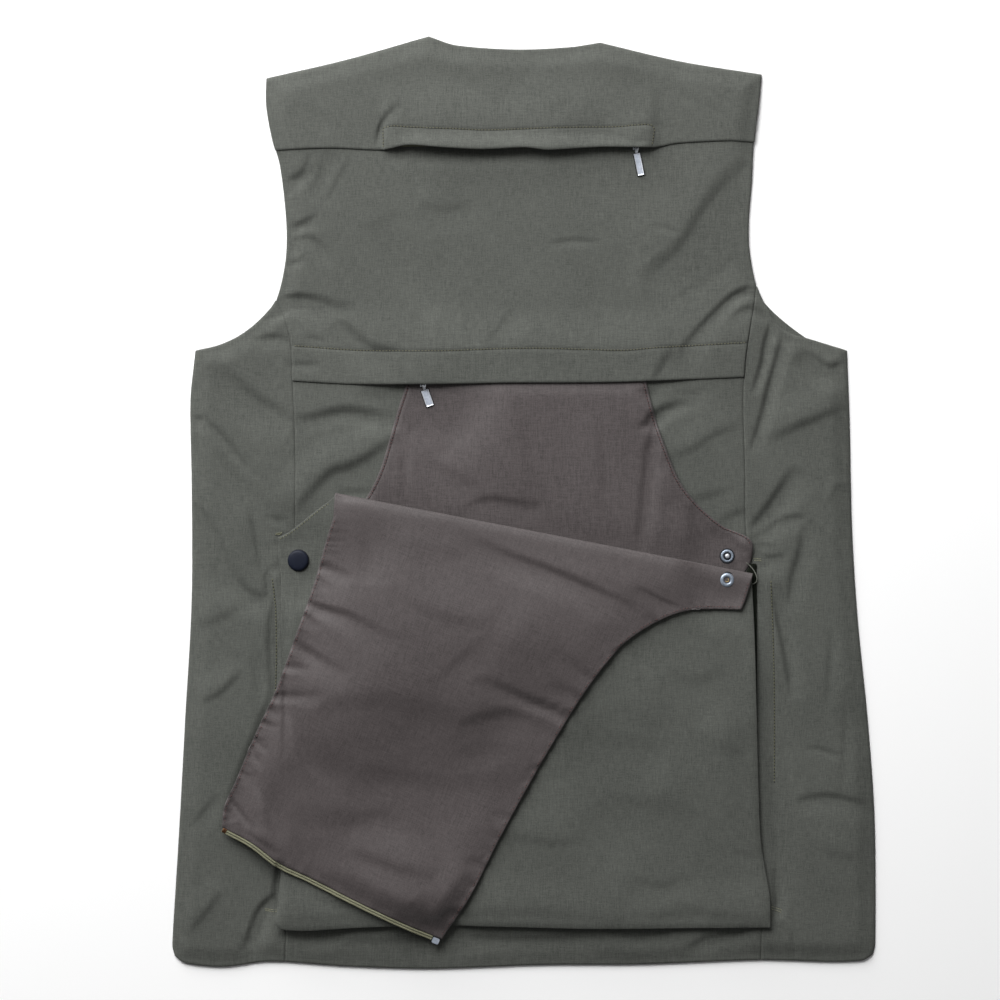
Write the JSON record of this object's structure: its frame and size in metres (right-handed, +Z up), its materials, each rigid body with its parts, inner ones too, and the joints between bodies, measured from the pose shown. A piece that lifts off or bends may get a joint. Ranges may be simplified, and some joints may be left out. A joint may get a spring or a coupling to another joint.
{
  "type": "shooting vest",
  "caption": "Sleeveless cotton vest laid flat with its back up, a zipped yoke, and a rear game bag whose front is folded down to show its lining.",
  "frame": {"origin": "middle of the vest's outline, on the surface that it lies on", "axes": "+Z up, out of the back; +Y from the hem to the neck; +X to the right as seen from above"},
  "size_m": [0.5612, 0.7442, 0.0138],
  "materials": {
    "green_cotton": "matt woven cotton",
    "brown_lining": "fine weave with a slight sheen",
    "olive_tape": "woven zip tape",
    "silver_metal": "plated zinc",
    "navy_enamel": "enamelled snap cap"
  },
  "bodies": {
    "vest": {"side_left": "green_cotton", "side_right": "green_cotton", "back_lower": "green_cotton", "back_panel": "green_cotton", "yoke": "green_cotton", "front_left": "green_cotton", "front_right": "green_cotton", "bag_front": "green_cotton", "gusset_left": "green_cotton", "gusset_right": "green_cotton", "gusset_bottom": "green_cotton", "bag_lining": "brown_lining", "bag_front_lining": "brown_lining", "front_zip": "olive_tape", "yoke_zip": "olive_tape", "bag_zip": "olive_tape", "flap_zip": "olive_tape", "front_zip_slider": "silver_metal", "yoke_zip_slider": "silver_metal", "bag_zip_slider": "silver_metal", "flap_zip_box": "silver_metal", "snap_stud_right": "silver_metal", "snap_socket_right": "silver_metal", "snap_cap_left": "navy_enamel"},
    "yoke_pull": {"yoke_zip_pull": "silver_metal"},
    "bag_pull": {"bag_zip_pull": "silver_metal"}
  },
  "joints": [
    {"name": "yoke_pull_lift", "type": "hinge", "parent": "vest", "child": "yoke_pull", "pos_m": [0.08939, 0.28245, 0.0044], "axis": [-1, 0, 0], "range_deg": [0, 100]},
    {"name": "bag_pull_lift", "type": "hinge", "parent": "vest", "child": "bag_pull", "pos_m": [-0.08051, 0.09315, 0.0057], "axis": [-1, 0, 0], "range_deg": [0, 100]}
  ]
}
